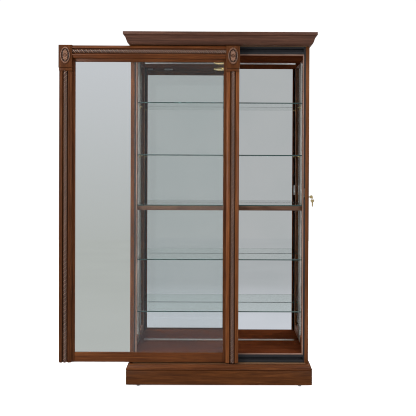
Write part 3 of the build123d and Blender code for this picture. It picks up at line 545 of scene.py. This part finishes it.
# ------------------------------------------------------------------ the door's rope turnings
def rope(name, axis, centre, start, end, radius, pitch=12.42, strands=4, around=28):
    """A turned rope: full and slender lobes wind round the rod by turns, with deep valleys between them."""
    step = pitch / 8.0
    count = int(round((end - start) / step)) + 1
    s = np.linspace(start, end, count)
    th = np.linspace(0, 2 * math.pi, around, endpoint=False)
    S, T = np.meshgrid(s, th, indexing="ij")
    phase = strands * T - 2 * math.pi * S / pitch
    full = 0.88 + 0.12 * np.cos(phase / 2.0)
    lobe = np.abs(np.cos(phase / 2.0)) * full
    r = radius * (0.60 + 0.40 * lobe ** 0.70)
    a, b = r * np.cos(T), r * np.sin(T)
    if axis == "Z":
        pts = np.stack([centre[0] + a, centre[1] + b, S], -1)
    else:
        pts = np.stack([S, centre[0] + a, centre[1] + b], -1)
    me = grid_mesh(name, pts * MM)
    set_board(me, float(rng.random()))
    # the lobe height is the cavity that sets painted shade in the valleys and a painted highlight on the ridges
    set_cavity(me, lobe.reshape(-1))
    me.materials.append(ROPED[axis])
    return link(name, me)


DX = -406.0
ROPE_Y = -177.5 - 12.5
parts = []
for side, sx in (("left", -1), ("right", 1)):
    parts.append(rope("door_rope_" + side, "Z", (DX + sx * 480.0, ROPE_Y), 137.9, 1810.8, 12.4))
parts.append(rope("door_rope_top", "X", (ROPE_Y, 1924.0), DX - 440.2, DX + 440.2, 12.4, 12.68))
for i, ob in enumerate(parts):
    finish_piece(ob, "door", ("door_ropes",) if i == 0 else ())


# ------------------------------------------------------------------ carved oval pateras
def leaf(x, z, angle, start, length, width, high):
    """Height of one carved leaf that grows from the middle, with a vein down it."""
    c, s_ = math.cos(angle), math.sin(angle)
    u = (x * c + z * s_ - start) / length
    v = (-x * s_ + z * c) / (width * (0.35 + 0.65 * np.sin(np.pi * np.clip(u, 0.02, 0.98)) ** 0.8))
    body = np.clip(1 - v * v, 0, 1) ** 0.5 * np.clip(1 - (2 * u - 1) ** 6, 0, 1)
    body = np.where((u > 0) & (u < 1), body, 0.0)
    rise = 0.55 + 0.45 * np.sin(np.pi * np.clip(u, 0, 1)) ** 0.7
    vein = 0.22 * np.exp(-((v / 0.16) ** 2))
    return high * np.clip(body * rise - vein * body, 0, 1)


def patera(name, cx, cz, y_face, a=28.4, b=48.8, high=9.0):
    """An oval carving: a raised ring round a boss with leaves above and below it."""
    nr, nt = 84, 200
    rho = np.linspace(0.0, 1.0, nr)
    t = np.linspace(0, 2 * math.pi, nt, endpoint=False)
    Q, T = np.meshgrid(rho, t, indexing="ij")
    x, z = a * Q * np.cos(T), b * Q * np.sin(T)
    h = np.full_like(x, 0.14)
    for up in (1, -1):
        for ang, start, length, width, top in (
            (90, 5.5, 31.0, 5.2, 1.0), (66, 5.5, 26.5, 4.6, 0.86), (114, 5.5, 26.5, 4.6, 0.86),
            (42, 5.0, 17.5, 3.8, 0.70), (138, 5.0, 17.5, 3.8, 0.70), (14, 5.0, 12.5, 3.0, 0.58), (166, 5.0, 12.5, 3.0, 0.58),
        ):
            h = np.maximum(h, leaf(x, z, up * math.radians(ang), start, length, width, top))
    boss = 0.92 * np.clip(1 - (x / 6.4) ** 2 - (z / 8.4) ** 2, 0, 1) ** 0.5 + 0.05
    h = np.maximum(h, boss)
    # the ring, with a fine quirk inside it
    u = (Q - 0.76) / 0.235
    ring = 0.10 + 0.80 * np.clip(1 - (2 * u - 1) ** 2, 0, 1) ** 0.6
    h = np.where(u > 0, ring, h)
    edge = (Q > 0.69) & (u <= 0)
    h = np.where(edge, np.minimum(h, 0.08), h)
    # the cavity sets the painted shade and highlight: dark in the quirk, a painted highlight on the ring held to 0.77,
    # mid on the boss
    cavity = np.where(edge, 0.20, 0.37 + 0.63 * np.clip((h - 0.12) / 0.62, 0, 1))
    cavity = np.where((x / 6.4) ** 2 + (z / 8.4) ** 2 < 0.8, 0.74, cavity)
    cavity = np.where(u > 0, np.minimum(cavity, 0.77), cavity)
    hh = h * high
    hh[-1] = 0.0
    rings = np.stack([cx + x, y_face - hh, cz + z], -1)
    back = rings[-1].copy()
    back[:, 1] = y_face + 1.5
    P = np.concatenate([rings[1:], back[None]]) * MM
    n, m = P.shape[:2]
    verts = [tuple(rings[0, 0] * MM)] + P.reshape(-1, 3).tolist()
    faces = [(0, 1 + j, 1 + (j + 1) % m) for j in range(m)]
    for i in range(n - 1):
        o = 1 + i * m
        for j in range(m):
            faces.append((o + j, o + m + j, o + m + (j + 1) % m, o + (j + 1) % m))
    o = 1 + (n - 1) * m
    faces.append(tuple(o + j for j in range(m)))
    me = bpy.data.meshes.new(name)
    me.from_pydata(verts, [], faces)
    bm = bmesh.new()
    bm.from_mesh(me)
    bmesh.ops.recalc_face_normals(bm, faces=bm.faces)
    bm.to_mesh(me)
    bm.free()
    me.polygons.foreach_set("use_smooth", [True] * len(me.polygons))
    me.set_sharp_from_angle(angle=math.radians(60))
    set_board(me, float(rng.random()))
    set_cavity(me, np.concatenate([[1.0], cavity[1:].reshape(-1)]))
    me.materials.append(ROPED["Z"])
    return link(name, me)


for i, sx in enumerate((-1, 1)):
    ob = patera("patera_" + ("left", "right")[i], DX + sx * 479.5, 1899.0, -204.5)
    finish_piece(ob, "door", ("door_rosettes",) if i == 0 else ())

# ------------------------------------------------------------------ wood pieces with eased edges
# painted light: the right front stile takes the lighter copy of the wood
skin("right_front_stile", WARM_LIT, 0.9)


def stile_faces(ob):
    """The faces turned to the inside are painted grey, a painted reflection of the pale room in the glass."""
    me = ob.data
    for a in "XYZ":
        me.materials.append(GREY_REFLECTION[a])
    for p in me.polygons:
        if p.normal.y < -0.6 or p.normal.x * p.center.x < -0.01:
            p.material_index += 3


skin("back_stiles", WOOD, 0.9, extra=stile_faces)
for n in ("left_front_stile", "side_bottom_rails", "side_top_rails"):
    skin(n, WOOD, 0.9)
for n in ("door_left_stile", "door_right_stile", "door_top_rail", "door_bottom_rail"):
    skin(n, WOOD, 0.9)


def pilaster_faces(ob):
    """Painted light and shade: the right pilaster takes a lighter copy of the wood and the left a darker one."""
    me = ob.data
    for a in "XYZ":
        me.materials.append(PILASTER_LIT[a])
    for p in me.polygons:
        if p.center.x > DX * MM:
            p.material_index += 3


skin("door_pilasters", PILASTER_SHADED, 0.5, 2, 22.0, extra=pilaster_faces)
skin("door_top_moulding", CARVED, 0.5, 2, 22.0)
skin("door_corner_blocks", PILASTER_SHADED, 0.8, 2)
skin("door_glass_stops", WOOD, 1.5)
skin("plinth_front", PLINTH, 1.2)
skin("plinth_sides", PLINTH, 1.2)
skin("base_mouldings", WOOD, 0.5, 2, 32.0)
skin("crown_mouldings", CROWN, 0.6, 2, 32.0)
skin("fixed_shelf_front_rail", SHELF_RAIL, 0.5)
skin("fixed_shelf_rails", SHELF_RAIL, 1.0)
skin("floor_panel", INSIDE_SHADED, 0.4)
skin("ceiling_panel", INSIDE_SHADED, 0.4)


def lip_faces(ob):
    """The front of the lip is pale, a painted highlight; its returns take the darker inside wood, painted shade."""
    me = ob.data
    for a in "XYZ":
        me.materials.append(INSIDE_SHADED[a])
    for p in me.polygons:
        if p.normal.y > -0.6:
            p.material_index += 3


skin("opening_trim", LIP_HIGHLIGHT, 0.6, 1, extra=lip_faces)
for n in ("base_deck", "plinth_back", "glide_blocks", "top_panel", "back_panel"):
    skin(n, RAW, 0.8)
for n in ("left_face_stile", "right_face_stile", "header_rail", "sill_rail"):
    skin(n, BLACK, 0.7)

# ------------------------------------------------------------------ metal and plastic
for n in ("lock_barrel", "lock_plug", "key", "spare_key_and_ring", "strike_plate", "shelf_clips"):
    skin(n, BRASS, 0.25, 2, 35.0)
for n in ("lock_cam", "lock_nut", "door_hangers"):
    skin(n, STEEL, 0.3, 2, 35.0)
for n in ("glide_front_left", "glide_front_right", "glide_back_left", "glide_back_right"):
    skin(n, STEEL, 0.3, 2, 35.0)
dress("door_screws", STEEL)
for n in ("top_track", "bottom_track"):
    skin(n, BLACK_METAL, 0.25, 2, 35.0)
skin("mirror_channels", ALU, 0.25, 2, 35.0)
for n in ("roller_left", "roller_right", "bottom_guides"):
    skin(n, NYLON, 0.4, 2, 35.0)
skin("light_housing", GOLD, 0.8, 3, 35.0)
dress("light_lens", LAMP)

# ------------------------------------------------------------------ glass
dress("door_glass", DOOR_CLEAR)
dress("side_glass", CLEAR)


def shelf_faces(ob):
    me = ob.data
    me.materials.clear()
    me.materials.append(SHELF)
    me.materials.append(EDGE)
    for p in me.polygons:
        p.material_index = 0 if abs(p.normal.z) > 0.9 else 1


skin("glass_shelves", SHELF, 0.0, extra=shelf_faces)
skin("fixed_shelf_glass", SHELF, 0.0, extra=shelf_faces)


def mirror_faces(ob):
    me = ob.data
    me.materials.clear()
    me.materials.append(SILVER)
    me.materials.append(BACKING["Z"])
    for p in me.polygons:
        p.material_index = 0 if p.normal.y < -0.5 else 1


skin("back_mirror", SILVER, 0.0, extra=mirror_faces)


# ------------------------------------------------------------------ floor, light, camera
def stage_material():
    """Pale floor. The glass and the mirror see the room's greyer tone."""
    t = Tree("studio_floor")
    tc = t.node("TexCoord")
    sep = t.node("SeparateXYZ")
    t.put(sep.inputs[0], tc.outputs["Object"])
    soft = t.noise(tc.outputs["Object"], 1.2, 2.0, 0.5)
    y = t.map(sep.outputs["Y"], -9.0, 9.0, 0.0, 1.0)
    grey = t.ramp(
        y,
        [
            (0.0, (0.455, 0.470, 0.485)), (0.300, (0.455, 0.470, 0.490)), (0.411, (0.640, 0.655, 0.715)),
            (0.467, (0.660, 0.675, 0.735)), (0.533, (0.456, 0.471, 0.451)), (1.0, (0.456, 0.471, 0.451)),
        ],
    )
    grey = t.mix(1.0, grey, t.map(soft, 0.3, 0.7, 0.98, 1.02), "MULTIPLY")
    room = t.node("Emission")
    t.put(room.inputs["Color"], grey)
    lit = t.node("BsdfDiffuse")
    lit.inputs["Color"].default_value = (0.93, 0.93, 0.93, 1)
    lift = t.node("Emission")
    lift.inputs["Color"].default_value = (1, 1, 1, 1)
    lift.inputs["Strength"].default_value = 0.86
    seen = t.node("AddShader")
    t.nt.links.new(lit.outputs[0], seen.inputs[0])
    t.nt.links.new(lift.outputs[0], seen.inputs[1])
    lp = t.node("LightPath")
    m = t.node("MixShader")
    t.put(m.inputs[0], lp.outputs["Is Camera Ray"])
    t.nt.links.new(room.outputs[0], m.inputs[1])
    t.nt.links.new(seen.outputs[0], m.inputs[2])
    t.surface(m.outputs[0])
    return t.mat


bm = bmesh.new()
bmesh.ops.create_grid(bm, x_segments=8, y_segments=8, size=9.0)
me = bpy.data.meshes.new("studio_floor")
bm.to_mesh(me)
bm.free()
me.materials.append(stage_material())
floor = link("studio_floor", me)

world = bpy.data.worlds.new("studio")
scene.world = world
world.use_nodes = True
wt = world.node_tree
wt.nodes.clear()
wo = wt.nodes.new("ShaderNodeOutputWorld")
tc = wt.nodes.new("ShaderNodeTexCoord")
sep = wt.nodes.new("ShaderNodeSeparateXYZ")
wt.links.new(tc.outputs["Generated"], sep.inputs[0])


def world_ramp(socket, a, b, stops):
    mp = wt.nodes.new("ShaderNodeMapRange")
    mp.inputs["From Min"].default_value = a
    mp.inputs["From Max"].default_value = b
    wt.links.new(socket, mp.inputs["Value"])
    r = wt.nodes.new("ShaderNodeValToRGB")
    el = r.color_ramp.elements
    while len(el) < len(stops):
        el.new(0.5)
    for e, (p, c) in zip(el, stops):
        e.position = p
        e.color = (*c, 1)
    wt.links.new(mp.outputs[0], r.inputs[0])
    return r.outputs[0]


back_tone = world_ramp(
    sep.outputs["Z"], -0.10, 0.14,
    [(0.0, (0.456, 0.471, 0.455)), (0.30, (0.495, 0.510, 0.510)), (1.0, (0.605, 0.615, 0.650))],
)
front_tone = world_ramp(sep.outputs["Z"], 0.0, 0.9, [(0.0, (0.472, 0.484, 0.496)), (0.35, (0.480, 0.492, 0.502)), (1.0, (0.72, 0.72, 0.72))])
side = wt.nodes.new("ShaderNodeMapRange")
side.inputs["From Min"].default_value = -0.25
side.inputs["From Max"].default_value = 0.25
wt.links.new(sep.outputs["Y"], side.inputs["Value"])
tone = wt.nodes.new("ShaderNodeMix")
tone.data_type = "RGBA"
wt.links.new(side.outputs[0], tone.inputs["Factor"])
wt.links.new(front_tone, tone.inputs["A"])
wt.links.new(back_tone, tone.inputs["B"])
room_bg = wt.nodes.new("ShaderNodeBackground")
wt.links.new(tone.outputs["Result"], room_bg.inputs["Color"])
white_bg = wt.nodes.new("ShaderNodeBackground")
white_bg.inputs["Color"].default_value = (1, 1, 1, 1)
white_bg.inputs["Strength"].default_value = 1.05
lp = wt.nodes.new("ShaderNodeLightPath")
mixw = wt.nodes.new("ShaderNodeMixShader")
wt.links.new(lp.outputs["Is Camera Ray"], mixw.inputs[0])
wt.links.new(room_bg.outputs[0], mixw.inputs[1])
wt.links.new(white_bg.outputs[0], mixw.inputs[2])
wt.links.new(mixw.outputs[0], wo.inputs["Surface"])


def area(name, loc, target, size, size_y, power, colour=(1, 1, 1)):
    d = bpy.data.lights.new(name, "AREA")
    d.shape = "RECTANGLE"
    d.size, d.size_y = size, size_y
    d.energy = power
    d.color = colour
    ob = bpy.data.objects.new(name, d)
    scene.collection.objects.link(ob)
    ob.location = loc
    ob.rotation_mode = "QUATERNION"
    ob.rotation_quaternion = (Vector(target) - Vector(loc)).to_track_quat("-Z", "Y")
    return ob


area("soft_left", (-3.6, -3.6, 2.1), (-0.1, 0, 0.9), 1.6, 2.4, 168)
area("soft_right", (3.4, -3.8, 1.9), (0.1, 0, 0.9), 1.4, 2.2, 90)
area("overhead", (0.0, -1.6, 4.6), (0, -0.1, 0.6), 3.4, 2.4, 84)

cam_data = bpy.data.cameras.new("camera")
cam = bpy.data.objects.new("camera", cam_data)
scene.collection.objects.link(cam)
scene.camera = cam
cam_data.sensor_width = 36.0
cam_data.lens = 846.42 / 416.0 * 36.0
cam_data.shift_x = -16.63 / 416.0
cam_data.shift_y = -37.30 / 416.0
cam_data.clip_start, cam_data.clip_end = 0.05, 60.0
cam.matrix_world = (
    Matrix.Translation((0.0019, -5.0475, 1.2858))
    @ Matrix.Rotation(math.radians(-0.303), 4, "Z")
    @ Matrix.Rotation(math.radians(90.0 - 0.510), 4, "X")
    @ Matrix.Rotation(math.radians(0.237), 4, "Z")
)
scene.cycles.filter_width = 1.0
scene.view_settings.view_transform = "Standard"
scene.view_settings.look = "None"
